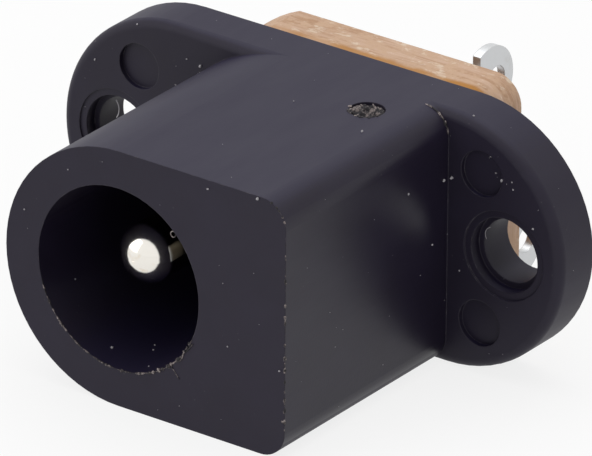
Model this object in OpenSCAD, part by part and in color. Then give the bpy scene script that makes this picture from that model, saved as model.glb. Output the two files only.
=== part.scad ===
// Panel-mounted DC barrel jack: a moulded housing with a two-screw flange, a turned centre pin,
// a folded sleeve spring, a switch contact and a phenolic terminal board that closes the back.
// The origin is on the bore axis, in the plane of the flange's front face.
// +X points to the flat side of the block, +Y to the solder lugs and +Z up.

/* [Housing block] */
// Height of the block and of the flange
body_h = 9.0; // [8.6:0.1:10]
// Length of the block in front of the flange
block_len = 8.8; // [8.4:0.1:11]
// Distance from the bore axis to the flat side of the block
flat_side_x = 6.6; // [6.4:0.1:7.5]
// Radius of the two long edges beside the flat side
long_edge_r = 0.95; // [0.4:0.05:1.2]

/* [Gate mark] */
// Diameter of the dimple where the moulding gate was broken off
gate_d = 1.2; // [0.6:0.1:1.6]
// Depth of the gate's dimple
gate_depth = 0.12; // [0.04:0.01:0.3]
// Distance of the gate's dimple from the block's flat side
gate_inset = 2.15; // [2:0.05:3]
// Distance of the gate's dimple in front of the flange
gate_front = 1.5; // [0.7:0.05:4]

/* [Plug bore] */
// Diameter of the bore that takes the plug's barrel
bore_d = 6.4; // [6:0.1:6.6]
// Thickness of the wall between the bore and the board
floor_t = 1.2; // [0.8:0.1:1.5]

/* [Flange] */
// Overall width of the flange over both ears
flange_w = 20; // [19.6:0.2:24]
// Thickness of the flange
flange_t = 1.8; // [1.6:0.1:3]
// Radius of the flange's front edge
rim_r = 0.32; // [0.1:0.02:0.6]

/* [Screw holes] */
// Distance between the two screw holes
screw_pitch = 15.5; // [15.2:0.1:16]
// Diameter of the screw hole
screw_d = 2.2; // [1.8:0.1:2.4]
// Diameter of the step in front of the screw hole
step_d = 2.6; // [2.5:0.1:2.9]
// Depth of the step
step_depth = 0.5; // [0.2:0.05:1]
// Diameter of the mould insert's witness ring
witness_d = 3.1; // [3:0.1:3.4]
// Depth of the witness ring
witness_depth = 0.06; // [0.02:0.01:0.12]

/* [Ejector marks] */
// Diameter of an ejector-pin mark
ejector_d = 1.6; // [1:0.1:1.8]
// Depth of an ejector-pin mark
ejector_depth = 0.18; // [0.05:0.01:0.3]
// Distance between the left and right columns of marks
ejector_pitch_x = 13.7; // [13.4:0.1:14]
// Distance between the upper and lower rows of marks
ejector_pitch_z = 5.3; // [5:0.1:5.6]

/* [Terminal board] */
// Thickness of the board
board_t = 1.6; // [1:0.1:2]
// How far the board reaches past the round side of the block
board_left_reach = 0.35; // [0:0.05:0.6]
// How far the board reaches past the flat side of the block
board_right_reach = 0.45; // [0:0.05:0.6]
// Radius of the board's two square corners
board_corner_r = 1.0; // [0.3:0.1:1.5]

/* [Board pegs] */
// Diameter of the moulded pegs that carry the board
peg_d = 1.2; // [0.8:0.1:1.4]
// Diameter of a peg's heat-formed head
peg_head_d = 1.9; // [1.7:0.1:2.2]
// Height of a peg's head
peg_head_h = 0.4; // [0.2:0.1:0.8]
// Distance of the pegs' axes inside the block's round side
peg_inset = 0.7; // [0.6:0.05:1]
// Angle of the pegs above and below the middle of the round side
peg_angle = 41; // [36:1:46]

/* [Centre pin] */
// Diameter of the pin's free end
pin_d = 2.0; // [1.65:0.05:2.5]
// Distance of the pin's axis from the bore axis, away from the sleeve spring
pin_offset = 0.43; // [0:0.01:0.5]
// Distance of the pin's tip behind the front face
pin_recess = 1.35; // [0.8:0.05:3]
// Height of the pin's domed tip
tip_h = 0.7; // [0.4:0.05:0.8]
// Diameter of the collar that seats on the bore's floor
collar_d = 3.2; // [2.8:0.1:3.8]
// Thickness of the collar
collar_t = 0.5; // [0.4:0.1:1]
// Diameter of the pin's tail
tail_d = 1.5; // [1.2:0.05:1.6]
// Diameter of the riveted head on the tail
rivet_d = 2.4; // [2:0.1:2.6]
// Height of the riveted head
rivet_h = 0.45; // [0.3:0.05:0.7]

/* [Sheet contacts] */
// Thickness of the contact sheet
sheet_t = 0.3; // [0.2:0.05:0.4]
// Distance from the bore axis to the outer face of the sleeve spring's plate
spring_plate_x = 4.15; // [4.1:0.05:4.3]
// Distance between the facing sides of the spring's plate and the switch contact's plate
plate_spacing = 1.0; // [0.7:0.1:1.1]
// Width of the two contact leaves
leaf_w = 2.4; // [2:0.1:2.6]
// Distance from the bore axis to the spring's contact face
contact_face_x = 2.1; // [1.9:0.05:2.3]
// Length of the spring from the board to its free end
spring_len = 8.1; // [7.6:0.1:8.3]
// Depth of the plates in front of the board
plate_depth = 2.2; // [1.6:0.1:2.6]
// Length of the spring's leaf before it bends to the plug
rise_len = 0.6; // [0.3:0.1:1]
// Distance from the housing's back to the middle of the spring's contact face
touch_depth = 5.8; // [5.4:0.1:6]
// Length of the spring's contact face
touch_len = 0.6; // [0.4:0.1:0.8]
// Distance from the housing's back to the bend in the switch contact's leaf
switch_bend_depth = 4.9; // [4.2:0.1:5.4]
// Distance from the housing's back to the nose of the switch contact
nose_depth = 6.9; // [6.5:0.1:7.1]

/* [Solder lugs] */
// Width of a lug's neck
neck_w = 1.3; // [1:0.1:1.6]
// Width of a lug's round head
head_w = 2.5; // [2.2:0.1:2.7]
// Length of a lug's head behind its shoulders
head_len = 1.86; // [1.7:0.02:2.2]
// Distance from the board's back to the shoulders
neck_len = 1.8; // [1.2:0.1:3]
// Diameter of the eyelet
eyelet_d = 0.94; // [0.6:0.02:1.1]
// Distance of the two outer lugs above and below the bore axis
lug_z = 2.7; // [2.5:0.05:2.75]
// Distance of the pin's lug from the pin's axis, to the round side
pin_lug_x = 2.2; // [2:0.1:2.5]
// Diameter of the pin tag's ring
tag_d = 3.0; // [2.8:0.1:3.4]

/* [Fits] */
// Gap round tails, pegs and necks in their holes and slots
fit_gap = 0.05; // [0.02:0.01:0.1]
// Gap between the spring's end and the switch contact
switch_gap = 0.05; // [0.02:0.01:0.1]
// Gap between the contacts and the walls of their pocket
pocket_gap = 0.3; // [0.1:0.05:0.35]

/* [Hidden] */
$fn = 72;
black = [0.13, 0.13, 0.15];
phenolic = [0.66, 0.47, 0.31];
nickel = [0.78, 0.77, 0.74];
tin = [0.74, 0.74, 0.73];
over = 0.01;                                   // overshoot of every cut
half_h = body_h / 2;
front_y = -block_len;
back_y = flange_t;
board_back_y = back_y + board_t;
floor_y = back_y - floor_t;
bore_r = bore_d / 2;
centre_x = (flat_side_x - half_h) / 2;         // middle of block, flange and screw holes
ear_x = flange_w / 2 - half_h;                 // ear centres, from the middle
pin_r = pin_d / 2;
pin_x = -pin_offset;
tip_y = front_y + pin_recess;
tag_back_y = board_back_y + sheet_t;
shoulder_y = board_back_y + neck_len;
// pocket beside the bore, open to the back, with a slot into the bore
spring_mid_x = spring_plate_x - sheet_t / 2;
switch_mid_x = spring_plate_x + plate_spacing + sheet_t / 2;
pocket_x0 = spring_plate_x - sheet_t - pocket_gap;
pocket_x1 = switch_mid_x + sheet_t / 2 + fit_gap;
pocket_half_h = lug_z + neck_w / 2 + fit_gap;
spring_tip_y = back_y - spring_len;
pocket_y = spring_tip_y - pocket_gap;
slot_half_h = leaf_w / 2 + pocket_gap;
peg_circle_r = half_h - peg_inset;
peg_x = -peg_circle_r * cos(peg_angle);
peg_z = peg_circle_r * sin(peg_angle);

// ---- helpers -------------------------------------------------------------------------------

// A flat outline in X and Z, thick from y0 to y1
module slab(y0, y1) {
    translate([0, y1, 0])
        rotate([90, 0, 0])
            linear_extrude(height = y1 - y0) children();
}

// A solid of revolution about the Y axis: the profile's x is the radius and its y the place along Y
module turned() {
    rotate([-90, 0, 0])
        rotate_extrude() children();
}

// A round hole or disc along Y
module rod(r, y0, y1, x = 0, z = 0) {
    translate([x, y0, z])
        rotate([-90, 0, 0])
            cylinder(r = r, h = y1 - y0);
}

// A sheet that stands in the Y-Z plane between x0 and x1; its outline is drawn in Y and Z
module sheet(x0, x1) {
    translate([x0, 0, 0])
        rotate([90, 0, 90])
            linear_extrude(height = x1 - x0) children();
}

// One straight length of folded sheet, drawn from point p to point q with round ends
module fold(p, q) {
    run = q - p;
    translate(p)
        rotate(atan2(run[1], run[0])) {
            translate([0, -sheet_t / 2])
                square([norm(run), sheet_t]);
            circle(d = sheet_t, $fn = 24);
        }
    translate(q)
        circle(d = sheet_t, $fn = 24);
}

// A folded leaf that follows a path in X and Y, as wide as leaf_w
module leaf(path) {
    translate([0, 0, -leaf_w / 2])
        linear_extrude(height = leaf_w)
            for (i = [0 : len(path) - 2])
                fold(path[i], path[i + 1]);
}

// Outline of a solder lug in Y and Z, from start_y through the board, centred on z
module lug_outline(start_y, z) {
    head_r = head_w / 2;
    disc_y = shoulder_y + head_len - head_r;
    difference() {
        union() {
            translate([start_y, z - neck_w / 2])
                square([shoulder_y - start_y + over, neck_w]);
            intersection() {
                translate([disc_y, z])
                    circle(r = head_r);
                translate([shoulder_y, z - head_r])
                    square([head_len, head_w]);
            }
        }
        translate([shoulder_y + head_len / 2, z])
            circle(d = eyelet_d, $fn = 36);
    }
}

// ---- housing -------------------------------------------------------------------------------

// Cross-section of the front block: round on one side, square with rounded corners on the other
module block_outline() {
    circle(r = half_h);
    translate([0, -half_h])
        square([flat_side_x - long_edge_r, body_h]);
    translate([0, long_edge_r - half_h])
        square([flat_side_x, body_h - 2 * long_edge_r]);
    for (side = [-1, 1])
        translate([flat_side_x - long_edge_r, side * (half_h - long_edge_r)])
            circle(r = long_edge_r);
}

// Half-section of the flange: distance from its long centre line, and depth with a rounded front edge
module rim_section() {
    translate([0, rim_r])
        square([half_h, flange_t - rim_r]);
    square([half_h - rim_r, flange_t]);
    translate([half_h - rim_r, rim_r])
        circle(r = rim_r, $fn = 48);
}

module flange() {
    for (side = [-1, 1])
        translate([centre_x + side * ear_x, 0, 0])
            turned() intersection() {
                rim_section();
                square([half_h, flange_t]);
            }
    // straight middle, with the same rounded edge along its top and bottom
    for (turn = [0, 180])
        translate([centre_x, 0, 0])
            rotate([0, turn, 0])
                translate([-ear_x, 0, 0])
                    rotate([90, 0, 90])
                        linear_extrude(height = 2 * ear_x)
                            rotate(90) mirror([0, 1]) rim_section();
}

// Stepped hole with the faint ring that the mould insert leaves
module screw_hole() {
    rod(screw_d / 2, -over, flange_t + over);
    rod(step_d / 2, -over, step_depth);
    rod(witness_d / 2, -over, witness_depth);
}

module ear_cuts() {
    for (side = [-1, 1]) {
        translate([centre_x + side * screw_pitch / 2, 0, 0])
            screw_hole();
        for (row = [-1, 1])
            rod(ejector_d / 2, -over, ejector_depth,
                centre_x + side * ejector_pitch_x / 2, row * ejector_pitch_z / 2);
    }
}

// Dimple in the block's top, where the gate was broken off
module gate_mark() {
    translate([flat_side_x - gate_inset, -gate_front, half_h - gate_depth])
        cylinder(d = gate_d, h = gate_depth + over);
}

// Pocket for the sheet contacts, open to the back, and the slot through which the spring reaches
// into the bore
module contact_pocket() {
    translate([pocket_x0, pocket_y, -pocket_half_h])
        cube([pocket_x1 - pocket_x0, back_y - pocket_y + over, 2 * pocket_half_h]);
    translate([0, pocket_y, -slot_half_h])
        cube([pocket_x0 + over, floor_y - pocket_y, 2 * slot_half_h]);
}

// Moulded pegs, formed over the back of the board
module board_pegs() {
    for (side = [-1, 1]) {
        rod(peg_d / 2, back_y - over, board_back_y + over, peg_x, side * peg_z);
        rod(peg_head_d / 2, board_back_y, board_back_y + peg_head_h, peg_x, side * peg_z);
    }
}

module housing() {
    color(black) {
        difference() {
            union() {
                slab(front_y, flange_t) block_outline();
                flange();
            }
            rod(bore_r, front_y - over, floor_y);
            rod(tail_d / 2 + fit_gap, floor_y - over, back_y + over, pin_x);
            contact_pocket();
            ear_cuts();
            gate_mark();
        }
        board_pegs();
    }
}

// ---- terminal board ------------------------------------------------------------------------

module board_outline() {
    right_x = flat_side_x + board_right_reach;
    intersection() {
        circle(r = half_h + board_left_reach);
        translate([-body_h, -half_h])
            square([body_h, body_h]);
    }
    translate([-over, -half_h])
        square([right_x - board_corner_r + over, body_h]);
    translate([-over, board_corner_r - half_h])
        square([right_x + over, body_h - 2 * board_corner_r]);
    for (side = [-1, 1])
        translate([right_x - board_corner_r, side * (half_h - board_corner_r)])
            circle(r = board_corner_r);
}

// Slot for the neck of a lug
module neck_slot(x, z) {
    translate([x - sheet_t / 2 - fit_gap, z - neck_w / 2 - fit_gap])
        square([sheet_t + 2 * fit_gap, neck_w + 2 * fit_gap]);
}

module back_board() {
    color(phenolic)
        difference() {
            slab(back_y, board_back_y)
                difference() {
                    board_outline();
                    neck_slot(spring_mid_x, lug_z);
                    neck_slot(switch_mid_x, -lug_z);
                }
            rod(tail_d / 2 + fit_gap, back_y - over, board_back_y + over, pin_x);
            for (side = [-1, 1])
                rod(peg_d / 2 + fit_gap, back_y - over, board_back_y + over, peg_x, side * peg_z);
        }
}

// ---- centre pin and its lug ----------------------------------------------------------------

// A cap of height h on a disc of radius r, as half of its section
module cap_section(r, h, y, way) {
    cap_r = (r * r + h * h) / (2 * h);
    intersection() {
        translate([0, y + way * (h - cap_r)])
            circle(r = cap_r, $fn = 144);
        translate([0, way > 0 ? y : y - h])
            square([r, h]);
    }
}

module centre_pin() {
    color(nickel)
        translate([pin_x, 0, 0])
            turned() {
                cap_section(pin_r, tip_h, tip_y + tip_h, -1);
                translate([0, tip_y + tip_h])
                    square([pin_r, floor_y - tip_y - tip_h]);
                translate([0, floor_y - collar_t])
                    square([collar_d / 2, collar_t]);
                translate([0, floor_y - over])
                    square([tail_d / 2, tag_back_y - floor_y + 2 * over]);
                cap_section(rivet_d / 2, rivet_h, tag_back_y, 1);
            }
}

// Drawn about the pin's axis, and moved with it
module pin_lug() {
    bend_y = board_back_y + sheet_t;
    color(tin) translate([pin_x, 0, 0]) {
        // ring under the riveted head, and the arm that leads to the bend
        slab(board_back_y, tag_back_y)
            difference() {
                union() {
                    circle(d = tag_d);
                    translate([sheet_t - pin_lug_x, -neck_w / 2])
                        square([pin_lug_x - sheet_t, neck_w]);
                }
                circle(r = tail_d / 2 + fit_gap);
            }
        // quarter bend, then the lug itself
        translate([sheet_t - pin_lug_x, bend_y, -neck_w / 2])
            linear_extrude(height = neck_w)
                intersection() {
                    circle(r = sheet_t);
                    translate([-sheet_t, -sheet_t])
                        square(sheet_t);
                }
        sheet(-pin_lug_x, sheet_t - pin_lug_x)
            lug_outline(bend_y - over, 0);
    }
}

// ---- sleeve spring and switch contact ------------------------------------------------------

// Plate in front of the board that joins a leaf to its lug; side is +1 for the upper lug, -1 for the lower
module contact_plate(mid_x, side) {
    far = lug_z + neck_w / 2;
    low = side > 0 ? -leaf_w / 2 : -far;
    sheet(mid_x - sheet_t / 2, mid_x + sheet_t / 2) {
        translate([back_y - plate_depth, low])
            square([plate_depth - fit_gap, far + leaf_w / 2]);
        lug_outline(back_y - fit_gap - over, side * lug_z);
    }
}

module sleeve_spring() {
    touch_x = contact_face_x + sheet_t / 2;
    end_x = spring_mid_x - sheet_t / 2;
    touch_y = back_y - touch_depth;
    color(tin) {
        contact_plate(spring_mid_x, 1);
        leaf([
            [spring_mid_x, back_y - plate_depth],
            [spring_mid_x, back_y - plate_depth - rise_len],
            [touch_x, touch_y + touch_len / 2],
            [touch_x, touch_y - touch_len / 2],
            [end_x, spring_tip_y + sheet_t / 2],
        ]);
    }
}

module switch_contact() {
    nose_x = spring_mid_x + sheet_t / 2 + switch_gap;
    color(tin) {
        contact_plate(switch_mid_x, -1);
        leaf([
            [switch_mid_x, back_y - plate_depth],
            [switch_mid_x, back_y - switch_bend_depth],
            [nose_x, back_y - nose_depth],
            [nose_x, spring_tip_y + sheet_t / 2],
        ]);
    }
}

housing();
back_board();
centre_pin();
pin_lug();
sleeve_spring();
switch_contact();
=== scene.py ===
"""DC barrel jack: finishes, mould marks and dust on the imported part.

Lengths are in metres, in the part's own frame.
"""

import math
import random

import bmesh
import bpy
from mathutils import Matrix, Vector, noise
from mathutils.bvhtree import BVHTree


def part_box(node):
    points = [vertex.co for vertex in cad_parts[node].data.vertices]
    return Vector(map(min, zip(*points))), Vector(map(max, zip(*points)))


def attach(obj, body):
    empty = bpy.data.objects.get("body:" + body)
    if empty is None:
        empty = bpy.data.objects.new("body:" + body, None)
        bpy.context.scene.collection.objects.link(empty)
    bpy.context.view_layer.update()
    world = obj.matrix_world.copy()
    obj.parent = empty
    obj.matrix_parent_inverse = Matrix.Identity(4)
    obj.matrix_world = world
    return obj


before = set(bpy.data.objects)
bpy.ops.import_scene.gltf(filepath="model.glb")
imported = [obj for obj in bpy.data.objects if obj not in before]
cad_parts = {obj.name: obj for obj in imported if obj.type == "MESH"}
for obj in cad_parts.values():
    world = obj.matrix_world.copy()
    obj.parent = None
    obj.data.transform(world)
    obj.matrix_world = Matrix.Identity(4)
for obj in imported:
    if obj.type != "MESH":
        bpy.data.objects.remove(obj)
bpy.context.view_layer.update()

MM = 0.001

# ---- sizes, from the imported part's boxes or as they are in part.scad ---------------------------

housing_low, housing_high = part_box("housing")
board_low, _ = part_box("back_board")
pin_low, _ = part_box("centre_pin")

FRONT_Y = housing_low.y                     # front face of the block
TOP_Z = housing_high.z                      # flat top of the block
FLOOR_Z = housing_low.z                     # its flat bottom, on which the part stands
FLAT_SIDE_X = 6.6 * MM                      # the block's flat side
LONG_EDGE_R = 0.95 * MM                     # its two rounded long edges
BORE_R = 3.2 * MM
FLANGE_BACK_Y = board_low.y                 # back of the flange, where the board begins
BRIGHT_TIP = 0.62 * MM                      # how far back from its tip the pin stays bright
GATE_X, GATE_Y = 4.45 * MM, -1.5 * MM       # the gate's dimple in the block's top
GATE_R = 0.6 * MM
GATE_DEPTH = 0.12 * MM
EAR_MIDDLE_X = 1.05 * MM                    # midway between the two ears
SCREW_PITCH = 15.5 * MM

RIGHT = Vector((1, 0, 0))
AWAY = Vector((0, 1, 0))
UP = Vector((0, 0, 1))

# ---- camera ------------------------------------------------------------------------------------

CAMERA_AZIMUTH = math.radians(36.06)        # from -Y towards +X
CAMERA_ELEVATION = math.radians(25.45)
CAMERA_ROLL = math.radians(0.45)
CAMERA_DISTANCE = 354.1 * MM
AIM_RIGHT = 0.462 * MM                      # the aim point, from the origin, in the picture's plane
AIM_UP = -1.380 * MM
FRAME_WIDTH = 19.21 * MM                    # what the picture spans at the aim point
SENSOR = 36.0


def camera_axes():
    """The camera's right, up and back directions, with its roll."""
    az, el = CAMERA_AZIMUTH, CAMERA_ELEVATION
    back = Vector((math.sin(az) * math.cos(el), -math.cos(az) * math.cos(el), math.sin(el)))
    right = Vector((math.cos(az), math.sin(az), 0))
    up = back.cross(right)
    turn = Matrix.Rotation(CAMERA_ROLL, 3, back)
    return turn @ right, turn @ up, back


def make_camera():
    right, up, back = camera_axes()
    data = bpy.data.cameras.new("camera")
    data.sensor_width = SENSOR
    data.lens = SENSOR * CAMERA_DISTANCE / FRAME_WIDTH
    data.clip_start = 10 * MM
    data.clip_end = 3.0
    camera = bpy.data.objects.new("camera", data)
    place = right * AIM_RIGHT + up * AIM_UP + back * CAMERA_DISTANCE
    turn = Matrix((right, up, back)).transposed().to_4x4()
    camera.matrix_world = Matrix.Translation(place) @ turn
    bpy.context.scene.collection.objects.link(camera)
    bpy.context.scene.camera = camera


# ---- node helpers ------------------------------------------------------------------------------


class Shader:
    """A material's node tree, with short names for the nodes that the finishes share."""

    def __init__(self, name):
        self.material = bpy.data.materials.new(name)
        self.material.use_nodes = True
        self.tree = self.material.node_tree
        self.tree.nodes.clear()
        self.place = self.node("ShaderNodeTexCoord").outputs["Object"]
        self.output = self.node("ShaderNodeOutputMaterial")

    def node(self, kind, **settings):
        made = self.tree.nodes.new(kind)
        for key, value in settings.items():
            setattr(made, key, value)
        return made

    def link(self, source, socket):
        self.tree.links.new(source, socket)

    def put(self, socket, value):
        if isinstance(value, bpy.types.NodeSocket):
            self.link(value, socket)
        else:
            socket.default_value = value

    def math(self, operation, a, b=0.0, clamp=False):
        made = self.node("ShaderNodeMath", operation=operation, use_clamp=clamp)
        self.put(made.inputs[0], a)
        self.put(made.inputs[1], b)
        return made.outputs[0]

    def stretched(self, x, y, z):
        """The place on the object in millimetres, stretched along each axis."""
        made = self.node("ShaderNodeVectorMath", operation="MULTIPLY")
        self.link(self.place, made.inputs[0])
        made.inputs[1].default_value = (x / MM, y / MM, z / MM)
        return made.outputs[0]

    def noise(self, scale, detail=3.0, stretch=(1, 1, 1), rough=0.5):
        """Noise from 0 to 1; scale is in waves for each millimetre."""
        made = self.node("ShaderNodeTexNoise")
        self.link(self.stretched(*stretch), made.inputs["Vector"])
        made.inputs["Scale"].default_value = scale
        made.inputs["Detail"].default_value = detail
        made.inputs["Roughness"].default_value = rough
        return made.outputs["Fac"]

    def spots(self, scale, size, stretch=(1, 1, 1)):
        """1 in scattered round spots and 0 between them; size is the spot's share of a cell."""
        made = self.node("ShaderNodeTexVoronoi")
        self.link(self.stretched(*stretch), made.inputs["Vector"])
        made.inputs["Scale"].default_value = scale
        return self.ramp(made.outputs["Distance"], size, size * 0.6)

    def ramp(self, value, low, high):
        """0 below low and 1 above high, or the other way round where high is less than low."""
        made = self.node("ShaderNodeMapRange")
        made.interpolation_type = "SMOOTHSTEP"
        self.link(value, made.inputs["Value"])
        made.inputs["From Min"].default_value = min(low, high)
        made.inputs["From Max"].default_value = max(low, high)
        made.inputs["To Min"].default_value = 0.0 if low < high else 1.0
        made.inputs["To Max"].default_value = 1.0 if low < high else 0.0
        return made.outputs["Result"]

    def between(self, value, low, high):
        """value from 0 to 1, spread from low to high."""
        made = self.node("ShaderNodeMapRange")
        self.link(value, made.inputs["Value"])
        made.inputs["To Min"].default_value = low
        made.inputs["To Max"].default_value = high
        return made.outputs["Result"]

    def colour(self, factor, a, b):
        """Colour a where factor is 0 and b where it is 1."""
        made = self.node("ShaderNodeMix", data_type="RGBA")
        self.put(made.inputs["Factor"], factor)
        for socket, value in ((made.inputs["A"], a), (made.inputs["B"], b)):
            self.put(socket, value if isinstance(value, bpy.types.NodeSocket) else (*value, 1.0))
        return made.outputs["Result"]

    def bump(self, height, depth, normal=None):
        """A bump as deep as depth, in millimetres, where height goes from 0 to 1."""
        made = self.node("ShaderNodeBump")
        made.inputs["Strength"].default_value = 1.0
        made.inputs["Distance"].default_value = depth * MM
        self.link(height, made.inputs["Height"])
        if normal is not None:
            self.link(normal, made.inputs["Normal"])
        return made.outputs["Normal"]

    def soft_edges(self, radius):
        """The surface's normal with its edges rounded to a radius in millimetres."""
        made = self.node("ShaderNodeBevel", samples=6)
        made.inputs["Radius"].default_value = radius * MM
        return made.outputs["Normal"]

    def wear(self, rounded, low, high):
        """1 on sharp edges, fading to 0 on the flats; rounded is the normal from soft_edges."""
        made = self.node("ShaderNodeVectorMath", operation="DOT_PRODUCT")
        self.link(rounded, made.inputs[0])
        self.link(self.node("ShaderNodeNewGeometry").outputs["Normal"], made.inputs[1])
        return self.ramp(self.math("SUBTRACT", 1.0, made.outputs["Value"]), low, high)

    def along(self, axis):
        """The place on the object along an axis, in millimetres."""
        split = self.node("ShaderNodeSeparateXYZ")
        self.link(self.stretched(1, 1, 1), split.inputs[0])
        return split.outputs[axis]

    def facing(self):
        """The true normal's X, Y and Z, each without its sign."""
        split = self.node("ShaderNodeSeparateXYZ")
        self.link(self.node("ShaderNodeNewGeometry").outputs["True Normal"], split.inputs[0])
        return [self.math("ABSOLUTE", split.outputs[n]) for n in range(3)]

    def finish(self, colour, roughness, normal=None, metallic=0.0, ior=1.5):
        made = self.node("ShaderNodeBsdfPrincipled")
        self.put(made.inputs["Base Color"], colour)
        self.put(made.inputs["Roughness"], roughness)
        made.inputs["Metallic"].default_value = metallic
        made.inputs["IOR"].default_value = ior
        if normal is not None:
            self.link(normal, made.inputs["Normal"])
        self.link(made.outputs["BSDF"], self.output.inputs["Surface"])
        return self.material


# ---- finishes ----------------------------------------------------------------------------------


def black_plastic():
    """Moulded charcoal nylon: polished on the side walls, finely eroded elsewhere, with pale edges that
    are partly wear and partly a painted highlight, and a painted bluish sheen on the faces that point up
    or down.
    """
    s = Shader("black_plastic")
    along_x, _, along_z = s.facing()
    clouds = s.noise(0.45, 4)
    grain = s.noise(14, 2)
    flow = s.noise(1.6, 3, stretch=(1, 0.25, 1))
    body = s.colour(clouds, (0.0112, 0.0080, 0.0170), (0.0175, 0.0140, 0.030))
    # faces that point up or down get a bluer colour: a painted sheen of the bluish light on the top, not
    # a colour of the plastic
    body = s.colour(s.ramp(along_z, 0.7, 0.98), body, (0.0125, 0.0095, 0.0285))
    dusty = s.math("MULTIPLY", s.spots(3.1, 0.10), s.ramp(s.noise(0.8), 0.5, 0.66))
    body = s.colour(s.math("MULTIPLY", dusty, 0.22), body, (0.16, 0.15, 0.15))
    rounded = s.soft_edges(0.05)
    broken = s.ramp(s.noise(3.2, 4, rough=0.65), 0.5, 0.66)
    # pale sharp edges: partly real wear and partly a painted highlight along the edges
    worn = s.math("MULTIPLY", s.wear(rounded, 0.08, 0.26), s.math("ADD", broken, 0.12, clamp=True))
    body = s.colour(s.math("MULTIPLY", worn, 0.8), body, (0.13, 0.12, 0.13))
    polished = s.math("MULTIPLY", s.ramp(along_x, 0.85, 0.97), s.ramp(s.along(1), 0.05, -0.05))
    rough = s.between(flow, 0.48, 0.58)
    rough = s.math("SUBTRACT", rough, s.math("MULTIPLY", polished, 0.22))
    rough = s.math("ADD", rough, s.math("MULTIPLY", dusty, 0.2))
    normal = s.bump(grain, 0.0022, rounded)
    normal = s.bump(flow, 0.006, normal)
    return s.finish(body, rough, normal, ior=1.345)


def torn_plastic():
    """The same plastic where it was torn or scraped: rough, and whitened where it stands up."""
    s = Shader("torn_plastic")
    torn = s.noise(3.4, 5, rough=0.72)
    body = s.colour(s.ramp(torn, 0.47, 0.62), (0.013, 0.011, 0.014), (0.33, 0.28, 0.27))
    normal = s.bump(s.noise(16, 3), 0.01)
    return s.finish(body, s.between(torn, 0.55, 0.8), normal, ior=1.4)


def phenolic_paper():
    """Laminated paper board: smooth brown faces, pale and fibrous where it was cut."""
    s = Shader("phenolic_paper")
    _, along_y, _ = s.facing()
    cut = s.ramp(along_y, 0.6, 0.3)
    layers = s.noise(1.0, 5, stretch=(0.35, 5, 0.35), rough=0.6)
    mottle = s.noise(1.9, 5, stretch=(1, 1.5, 1), rough=0.7)
    fibres = s.noise(1.0, 5, stretch=(1.1, 10, 1.1), rough=0.7)
    tears = s.ramp(s.noise(1.0, 4, stretch=(1.9, 3.6, 1.9), rough=0.65), 0.55, 0.66)
    edge = s.colour(s.ramp(layers, 0.36, 0.62), (0.45, 0.26, 0.15), (0.62, 0.42, 0.30))
    edge = s.colour(s.ramp(mottle, 0.42, 0.60), edge, (0.58, 0.38, 0.25))
    edge = s.colour(s.math("MULTIPLY", tears, 0.75), edge, (0.76, 0.62, 0.48))
    # darker brown along the cut edges within about 0.3 mm of the board's front, where it meets the
    # flange, darkest at its two ends
    front_y = FLANGE_BACK_Y / MM
    ragged = s.math("ADD", s.along(1), s.between(s.noise(1.2, 3), -0.22, 0.22))
    front_band = s.ramp(ragged, front_y + 0.36, front_y + 0.12)
    front_darkening = s.ramp(s.noise(0.55, 2, stretch=(1, 0.2, 1)), 0.36, 0.60)
    ends = s.math("ADD", s.ramp(s.along(0), -2.0, -3.6), s.ramp(s.along(0), 4.4, 5.4), clamp=True)
    front_darkening = s.math("MAXIMUM", s.between(front_darkening, 0.35, 0.85), ends)
    edge = s.colour(s.math("MULTIPLY", front_band, front_darkening), edge, (0.43, 0.185, 0.028))
    face = s.colour(s.noise(1.3, 5), (0.26, 0.125, 0.052), (0.36, 0.185, 0.085))
    face = s.colour(s.math("MULTIPLY", s.spots(5, 0.2), 0.35), face, (0.17, 0.08, 0.04))
    body = s.colour(cut, face, edge)
    rough = s.math("ADD", s.math("MULTIPLY", cut, 0.38), 0.34)
    normal = s.soft_edges(0.04)
    normal = s.bump(s.math("MULTIPLY", fibres, cut), 0.04, normal)
    normal = s.bump(s.noise(6, 3), 0.003, normal)
    return s.finish(body, rough, normal)


def paper_dust():
    """Crumbs and fibres of paper dust."""
    s = Shader("paper_dust")
    body = s.colour(s.noise(2.5, 2), (0.16, 0.15, 0.17), (0.62, 0.60, 0.62))
    return s.finish(body, s.between(s.noise(9, 2), 0.6, 0.85), s.bump(s.noise(20, 2), 0.004))


def plated(name, colour, worn, roughness, grain_stretch, grain_depth, shade_from_y=None):
    """A plated part with fine rolling marks, and the colour worn where its plating is thin.

    Past the y in millimetres given as its last argument, it is painted dark brass: a painted shade and
    reflection of the dark bore round it.
    """
    s = Shader(name)
    grain = s.noise(1.0, 3, stretch=grain_stretch)
    clouds = s.noise(1.4, 4)
    thin = s.ramp(clouds, 0.56, 0.72)
    rounded = s.soft_edges(0.04)
    body = s.colour(s.math("MULTIPLY", thin, 0.5), colour, worn)
    body = s.colour(s.math("MULTIPLY", s.wear(rounded, 0.06, 0.26), 0.5), body, worn)
    if shade_from_y is not None:
        # behind its bright tip the pin is painted dark brass: a painted shade and reflection of the dark
        # bore around it
        ragged = s.math("ADD", s.along(1), s.between(clouds, -0.15, 0.15))
        bore_shade = s.ramp(ragged, shade_from_y, shade_from_y + 0.25)
        bore_shade = s.math("MULTIPLY", bore_shade, s.ramp(s.along(1), 2.0, 1.0))
        body = s.colour(s.math("MULTIPLY", bore_shade, 0.9), body, (0.17, 0.125, 0.062))
    rough = s.between(grain, *roughness)
    return s.finish(body, rough, s.bump(grain, grain_depth, rounded), metallic=1.0)


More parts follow.
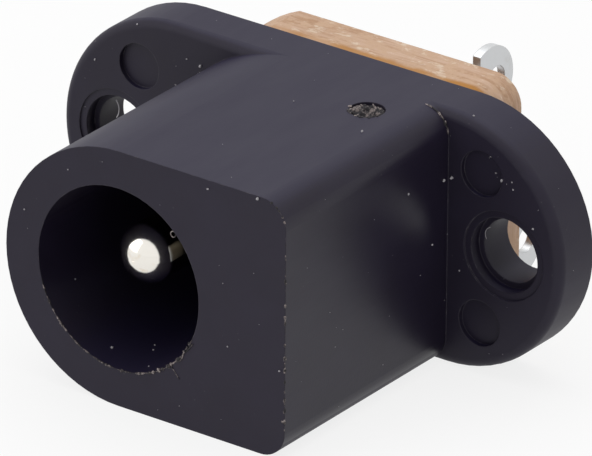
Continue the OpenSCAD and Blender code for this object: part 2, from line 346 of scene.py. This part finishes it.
def nickel_plate():
    """Bright nickel on the pin's tip, and painted dark brass behind it: a painted shade of the dark
    bore.
    """
    return plated(
        "nickel_plate", colour=(0.86, 0.83, 0.77), worn=(0.66, 0.50, 0.27), roughness=(0.10, 0.17),
        grain_stretch=(9, 0.6, 9), grain_depth=0.0015, shade_from_y=(pin_low.y + BRIGHT_TIP) / MM,
    )


def tin_plate():
    """Satin tin, greyer where it is thin."""
    return plated(
        "tin_plate", colour=(0.60, 0.61, 0.62), worn=(0.46, 0.45, 0.42), roughness=(0.30, 0.44),
        grain_stretch=(5, 5, 0.8), grain_depth=0.003,
    )


# ---- stage -------------------------------------------------------------------------------------


def seen_directly(s):
    """1 for the rays that show the background, straight, mirrored or through glass."""
    path = s.node("ShaderNodeLightPath")
    seen = s.math("MAXIMUM", path.outputs["Is Camera Ray"], path.outputs["Is Glossy Ray"])
    return s.math("MAXIMUM", seen, path.outputs["Is Transmission Ray"])


def make_world():
    """An even white studio: dimmer as a light than where it is seen or mirrored."""
    world = bpy.data.worlds.new("studio")
    world.use_nodes = True
    bpy.context.scene.world = world
    tree = world.node_tree
    path = tree.nodes.new("ShaderNodeLightPath")
    either = tree.nodes.new("ShaderNodeMath")
    either.operation = "MAXIMUM"
    tree.links.new(path.outputs["Is Camera Ray"], either.inputs[0])
    tree.links.new(path.outputs["Is Glossy Ray"], either.inputs[1])
    level = tree.nodes.new("ShaderNodeMapRange")
    level.inputs["To Min"].default_value = 0.55
    level.inputs["To Max"].default_value = 1.0
    tree.links.new(either.outputs[0], level.inputs["Value"])
    background = tree.nodes["Background"]
    background.inputs["Color"].default_value = (1.0, 1.0, 1.0, 1.0)
    tree.links.new(level.outputs["Result"], background.inputs["Strength"])


def make_floor():
    """A wide pale floor that keeps the object's shadow and fades to white."""
    s = Shader("floor_white")
    shade = s.node("ShaderNodeBsdfDiffuse")
    shade.inputs["Color"].default_value = (0.92, 0.92, 0.92, 1.0)
    glow = s.node("ShaderNodeEmission")
    glow.inputs["Color"].default_value = (1.0, 1.0, 1.0, 1.0)
    mixed = s.node("ShaderNodeMixShader")
    s.link(s.math("MULTIPLY", seen_directly(s), 0.82), mixed.inputs[0])
    s.link(shade.outputs[0], mixed.inputs[1])
    s.link(glow.outputs[0], mixed.inputs[2])
    s.link(mixed.outputs[0], s.output.inputs["Surface"])
    reach = 2.0
    mesh = bpy.data.meshes.new("floor")
    corners = [(x * reach, y * reach, FLOOR_Z) for x, y in ((-1, -1), (1, -1), (1, 1), (-1, 1))]
    mesh.from_pydata(corners, [], [(0, 1, 2, 3)])
    mesh.materials.append(s.material)
    floor = bpy.data.objects.new("floor", mesh)
    bpy.context.scene.collection.objects.link(floor)


def make_lamp(name, place, size, power):
    """A square soft box that looks at the origin."""
    data = bpy.data.lights.new(name, "AREA")
    data.size = size
    data.energy = power
    lamp = bpy.data.objects.new(name, data)
    place = Vector(place)
    turn = (-place).to_track_quat("-Z", "Y").to_matrix().to_4x4()
    lamp.matrix_world = Matrix.Translation(place) @ turn
    bpy.context.scene.collection.objects.link(lamp)


def make_lamps():
    make_lamp("overhead", (-0.03, 0.04, 0.25), size=0.28, power=0.34)
    make_lamp("front_left", (-0.16, -0.20, 0.12), size=0.20, power=0.15)


# ---- building ----------------------------------------------------------------------------------


def add_piece(name, bm, material):
    """Makes a mesh piece of the part from bm."""
    bmesh.ops.recalc_face_normals(bm, faces=bm.faces)
    mesh = bpy.data.meshes.new(name)
    bm.to_mesh(mesh)
    bm.free()
    for face in mesh.polygons:
        face.use_smooth = True
    mesh.materials.append(material)
    piece = bpy.data.objects.new(name, mesh)
    bpy.context.scene.collection.objects.link(piece)
    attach(piece, "root")


def crumb(bm, place, size, dice, flat=(1, 1, 1)):
    """An uneven lump, size across, squashed by flat along the three axes."""
    ball = bmesh.ops.create_icosphere(bm, subdivisions=2, radius=size / 2)["verts"]
    angle = dice.uniform(0, math.tau)
    turn = Matrix.Rotation(angle, 3, Vector([dice.gauss(0, 1) for _ in range(3)]))
    phase = Vector([dice.random() for _ in range(3)]) * 40
    unevenness, lumps = 0.55, 1.6
    for vert in ball:
        way = vert.co.normalized()
        swell = 1 + unevenness * noise.noise(way * lumps + phase)
        co = turn @ (vert.co * swell)
        vert.co = Vector((co.x * flat[0], co.y * flat[1], co.z * flat[2])) + place


def thread(bm, points, radius):
    """A thin round thread through the points, with closed ends."""
    sides = 6
    blunt_end = 0.4                             # the end rings' share of the radius
    rings = []
    side = Vector((0.31, 0.52, 0.79))           # any direction that no thread runs in
    for n, point in enumerate(points):
        run = (points[min(n + 1, len(points) - 1)] - points[max(n - 1, 0)]).normalized()
        side = (side - run * side.dot(run)).normalized()
        across = run.cross(side)
        taper = 1 if 0 < n < len(points) - 1 else blunt_end
        rings.append([
            bm.verts.new(point + (side * math.cos(a) + across * math.sin(a)) * radius * taper)
            for a in (math.tau * k / sides for k in range(sides))
        ])
    for a, b in zip(rings, rings[1:]):
        for k in range(sides):
            bm.faces.new((a[k], a[(k + 1) % sides], b[(k + 1) % sides], b[k]))
    bm.faces.new(rings[0][::-1])
    bm.faces.new(rings[-1])


def curl(middle, radius, start, turns, across, up, lift=0.0, count=14):
    """Points on an arc about middle, in the plane of across and up, that lifts as it goes round."""
    rise = across.cross(up)
    return [
        middle + (across * math.cos(a) + up * math.sin(a)) * radius + rise * lift * k / count
        for k, a in ((k, start + math.tau * turns * k / count) for k in range(count + 1))
    ]


def gate_scar(material):
    """The torn stub in the dimple where the moulding gate was broken off."""
    bm = bmesh.new()
    spokes, rings = 72, 20
    radius = GATE_R - 0.02 * MM
    floor_z = TOP_Z - GATE_DEPTH
    base, tallest = 0.012, 0.19                 # above the dimple's floor, in millimetres

    def height(x, y, share):
        """The stub's torn top, which fades to its base at the rim, where share is 1."""
        place = Vector((x, y, 0)) / MM
        ridge = 0.9 - abs(noise.noise(place * 3.4 + Vector((3.1, 7.7, 0)))) * 3.6
        crumbs = noise.noise(place * 9 + Vector((1.3, 4.2, 5))) * 0.35
        fade = 1 - share ** 6
        return floor_z + base * MM + min(1.0, max(0.0, ridge + crumbs)) * tallest * MM * fade

    middle = bm.verts.new((GATE_X, GATE_Y, height(GATE_X, GATE_Y, 0)))
    last = None
    for ring in range(1, rings + 1):
        share = ring / rings
        row = []
        for n in range(spokes):
            a = math.tau * n / spokes
            x = GATE_X + math.cos(a) * radius * share
            y = GATE_Y + math.sin(a) * radius * share
            row.append(bm.verts.new((x, y, height(x, y, share))))
        for n in range(spokes):
            m = (n + 1) % spokes
            if last is None:
                bm.faces.new((middle, row[n], row[m]))
            else:
                bm.faces.new((last[n], row[n], row[m], last[m]))
        last = row
    under = [bm.verts.new((v.co.x, v.co.y, floor_z + 0.002 * MM)) for v in last]
    for n in range(spokes):
        m = (n + 1) % spokes
        bm.faces.new((last[n], under[n], under[m], last[m]))
    bm.faces.new(under[::-1])
    # crumbs torn up round the dimple's front rim
    dice = random.Random(53)
    for _ in range(22):
        a = math.radians(dice.uniform(190, 340))
        reach = GATE_R * dice.uniform(0.86, 1.04)
        place = Vector((GATE_X, GATE_Y, TOP_Z + 0.004 * MM))
        place += (RIGHT * math.cos(a) + AWAY * math.sin(a)) * reach
        crumb(bm, place, dice.uniform(0.05, 0.12) * MM, dice, (1.1, 1.1, 0.5))
    add_piece("gate_scar", bm, material)


def bore_flash(material):
    """The ragged fringe of flash along the lower edge of the bore, with its torn ends."""
    bm = bmesh.new()
    first, last = math.radians(196), math.radians(338)
    steps, fade_steps = 260, 24
    thickest = math.radians(296)
    rows = []
    for n in range(steps + 1):
        a = first + (last - first) * n / steps
        way = RIGHT * math.cos(a) + UP * math.sin(a)
        place = way * 9 + Vector((0, 2.2, 0))
        rough = max(0.0, 0.35 + noise.noise(place * 1.4) + 0.8 * noise.noise(place * 5.5))
        ends = min(1.0, n / fade_steps, (steps - n) / fade_steps)
        strong = 0.55 + 0.45 * max(0.0, math.cos((a - thickest) * 2.2))
        width = (0.006 + 0.10 * rough * rough * strong * ends) * MM
        inner = BORE_R - width * 0.55
        outer = BORE_R + width * 0.75
        front = FRONT_Y - (0.008 + 0.022 * rough * ends) * MM
        back = FRONT_Y + 0.03 * MM
        rows.append([
            bm.verts.new(way * inner + AWAY * back),
            bm.verts.new(way * inner + AWAY * front),
            bm.verts.new(way * outer + AWAY * front),
            bm.verts.new(way * outer + AWAY * (FRONT_Y + 0.002 * MM)),
            bm.verts.new(way * (BORE_R + 0.002 * MM) + AWAY * back),
        ])
    corners = len(rows[0])
    for a, b in zip(rows, rows[1:]):
        for k in range(corners):
            bm.faces.new((a[k], a[(k + 1) % corners], b[(k + 1) % corners], b[k]))
    bm.faces.new(rows[0][::-1])
    bm.faces.new(rows[-1])
    add_piece("bore_flash", bm, material)


def bore_burrs(material):
    """Torn flakes and hairs of plastic on the bore's edge."""
    bm = bmesh.new()
    dice = random.Random(71)
    front = FRONT_Y - 0.02 * MM

    def on_edge(degrees, out=0.0):
        """A point on the bore's edge, or out millimetres outside it."""
        a = math.radians(degrees)
        return (RIGHT * math.cos(a) + UP * math.sin(a)) * (BORE_R + out * MM) + AWAY * front

    flakes = (
        (301, 0.15), (304, 0.12), (309, 0.17), (312, 0.13), (326, 0.12), (333, 0.13), (330, 0.08),
    )
    for degrees, size in flakes:
        crumb(bm, on_edge(degrees, -0.01), size * MM, dice, (1, 0.4, 1))
    # a hair that hangs from the lower edge, one along the edge and one closed curl
    start = on_edge(311, 0.02)
    hanging = [
        start + (RIGHT * 0.34 - UP * 0.40) * MM * t + AWAY * 0.02 * MM * math.sin(3 * t)
        for t in (0, 0.2, 0.4, 0.6, 0.8, 1.0)
    ]
    thread(bm, hanging, 0.020 * MM)
    wavy = [on_edge(316 + 14 * t, 0.03 + 0.05 * math.sin(6 * t)) for t in (k / 10 for k in range(11))]
    thread(bm, wavy, 0.022 * MM)
    thread(bm, [on_edge(327 + 8 * t, 0.04 + 0.06 * t) for t in (k / 6 for k in range(7))], 0.024 * MM)
    ring = on_edge(45.5, -0.10) + AWAY * 0.05 * MM
    thread(bm, curl(ring, 0.10 * MM, 0.4, 1.0, RIGHT, UP, 0.03 * MM), 0.018 * MM)
    add_piece("bore_burrs", bm, material)


def edge_nicks(material):
    """Scraped spots along the block's front right edge and where the block meets the right ear."""
    bm = bmesh.new()
    dice = random.Random(29)
    edge = Vector((FLAT_SIDE_X - 0.008 * MM, FRONT_Y + 0.008 * MM, 0))
    for z in (1.85, 1.0, 0.54, 0.36, -0.36, -0.85, -1.26, -1.66, -2.34, -2.72, -3.08):
        place = edge + UP * (z * MM + dice.gauss(0, 0.04) * MM)
        size = dice.choice((0.10, 0.12, 0.15)) * MM
        crumb(bm, place, size, dice, (0.6, 0.6, 1.3))
    for _ in range(16):
        place = edge + UP * dice.uniform(-3.4, 3.2) * MM
        crumb(bm, place, dice.uniform(0.05, 0.08) * MM, dice, (0.6, 0.6, 1.6))
    # the rounded corner above, and a deeper nick low on the edge
    corner = Vector((FLAT_SIDE_X - LONG_EDGE_R, FRONT_Y + 0.006 * MM, TOP_Z - LONG_EDGE_R))
    for degrees in (20, 31, 44, 52, 66):
        a = math.radians(degrees)
        way = (RIGHT * math.cos(a) + UP * math.sin(a)) * (LONG_EDGE_R - 0.006 * MM)
        crumb(bm, corner + way, dice.uniform(0.07, 0.10) * MM, dice, (1.1, 0.5, 1.1))
    crumb(bm, edge + (RIGHT * -0.05 - UP * 3.12) * MM, 0.2 * MM, dice, (1.0, 0.3, 0.5))
    # the burr in the corner between the block's rounded edge and the ear: real flash, whose pale colour,
    # with the two crumbs on it, is partly a painted highlight
    middle = Vector((FLAT_SIDE_X - LONG_EDGE_R, -0.02 * MM, TOP_Z - LONG_EDGE_R))
    arc = [middle + (RIGHT * math.cos(a) + UP * math.sin(a)) * (LONG_EDGE_R + 0.010 * MM)
           for a in (math.radians(88 - 8 * k) for k in range(11))]
    thread(bm, arc, 0.034 * MM)
    crumb(bm, middle + (RIGHT * 0.86 + UP * 0.50) * LONG_EDGE_R, 0.19 * MM, dice, (0.7, 0.7, 1.3))
    crumb(bm, middle + (RIGHT * 0.62 + UP * 0.80) * LONG_EDGE_R, 0.12 * MM, dice, (0.7, 0.7, 1.2))
    add_piece("edge_nicks", bm, material)


def surface_finder():
    """The housing as a tree that rays can be cast at."""
    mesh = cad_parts["housing"].data
    corners = [v.co.copy() for v in mesh.vertices]
    return BVHTree.FromPolygons(corners, [tuple(p.vertices) for p in mesh.polygons])


def dust(material):
    """Crumbs of dust: the larger ones where the photo has them, and finer ones strewn by chance."""
    tree = surface_finder()
    bm = bmesh.new()
    dice = random.Random(1180)
    outside = 0.02                              # where the rays start, well clear of the part

    def drop(start, way, size):
        hit, normal, _, _ = tree.ray_cast(start, way)
        if hit is not None:
            stretch = dice.uniform(0.6, 1.0)
            crumb(bm, hit + normal * size * 0.12, size * 0.85, dice, (stretch, 1, 1.6 - stretch))

    def on_front(x, z, size):
        drop(Vector((x * MM, -outside, z * MM)), AWAY, size * MM)

    # The larger crumbs' places and sizes, in millimetres. A helper program worked most of the
    # places out from the photo, through the fitted camera.
    right_ear = (
        (6.75, 2.2, 0.16), (8.15, 3.3, 0.12), (8.35, 3.2, 0.12), (8.7, 2.65, 0.13),
        (8.35, 2.75, 0.09), (9.15, 2.45, 0.08), (9.1, 2.7, 0.07), (9.95, 1.3, 0.10),
        (7.1, -1.0, 0.09),
    )
    left_ear = (
        (-3.3, 3.35, 0.14), (-4.3, 2.4, 0.08), (-5.9, 4.1, 0.09), (-3.85, 3.45, 0.08),
        (-7.6, 2.4, 0.1),
    )
    block_front = (
        (5.5, 4.42, 0.14), (-2.0, 3.3, 0.07), (-3.75, 1.4, 0.09), (-2.95, -1.15, 0.11),
        (3.55, 4.2, 0.10), (4.35, -1.1, 0.07), (6.4, -1.35, 0.09),
    )
    for x, z, size in right_ear + left_ear + block_front:
        on_front(x, z, size)
    inside_bore = (
        (253, -7.9, 0.13), (268, -6.7, 0.08), (271, -7.0, 0.08), (206, -7.3, 0.07),
        (284, -8.2, 0.07),
    )
    for degrees, y, size in inside_bore:
        a = math.radians(degrees)
        drop(Vector((0, y * MM, 0)), RIGHT * math.cos(a) + UP * math.sin(a), size * MM)
    # the block's side and top
    for y, z, size in ((-2.2, 2.4, 0.10), (-0.85, 0.1, 0.09), (-0.25, 2.15, 0.14)):
        drop(Vector((outside, y * MM, z * MM)), -RIGHT, size * MM)
    for x, y, size in ((5.3, -2.95, 0.11), (7.35, 0.3, 0.09), (2.2, -2.4, 0.06)):
        drop(Vector((x * MM, y * MM, outside)), -UP, size * MM)
    # finer dust, on every side but the back and the bottom
    for n in range(110):
        size = dice.uniform(0.018, 0.042) * MM
        x = dice.uniform(-8.6, 10.7) * MM
        y = dice.uniform(-8.5, 1.6) * MM
        z = dice.uniform(-4.2, 4.2) * MM
        side = n % 5
        if side < 2:
            drop(Vector((x, -outside, z)), AWAY, size)
        elif side == 2:
            drop(Vector((x, y, outside)), -UP, size)
        elif side == 3:
            drop(Vector((outside, y, z)), -RIGHT, size)
        else:
            drop(Vector((-outside, y, z)), RIGHT, size)
    add_piece("dust", bm, material)


def lint(material):
    """Curled fibres of lint in the left screw hole and on the right one's step."""
    bm = bmesh.new()
    left = Vector((EAR_MIDDLE_X - SCREW_PITCH / 2, 0.12 * MM, 0))
    left += (RIGHT * -0.35 + UP * 0.78) * MM
    thread(bm, curl(left, 0.40 * MM, 1.0, -0.26, RIGHT, UP, 0.12 * MM), 0.020 * MM)
    right = Vector((EAR_MIDDLE_X + SCREW_PITCH / 2, 0.30 * MM, 0))
    right += (RIGHT * -0.62 + UP * 0.42) * MM
    thread(bm, curl(right, 0.30 * MM, 1.9, 0.3, RIGHT, UP), 0.012 * MM)
    add_piece("lint", bm, material)


def dress_nodes():
    """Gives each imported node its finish."""
    tin = tin_plate()
    finishes = {
        "housing": black_plastic(),
        "back_board": phenolic_paper(),
        "centre_pin": nickel_plate(),
        "pin_lug": tin,
        "sleeve_spring": tin,
        "switch_contact": tin,
    }
    for name, material in finishes.items():
        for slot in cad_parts[name].material_slots:
            slot.material = material


make_camera()
make_world()
make_floor()
make_lamps()
dress_nodes()
torn = torn_plastic()
gate_scar(torn)
bore_flash(torn)
bore_burrs(torn)
edge_nicks(torn)
fluff = paper_dust()
dust(fluff)
lint(fluff)

bpy.context.scene.view_settings.view_transform = "Standard"
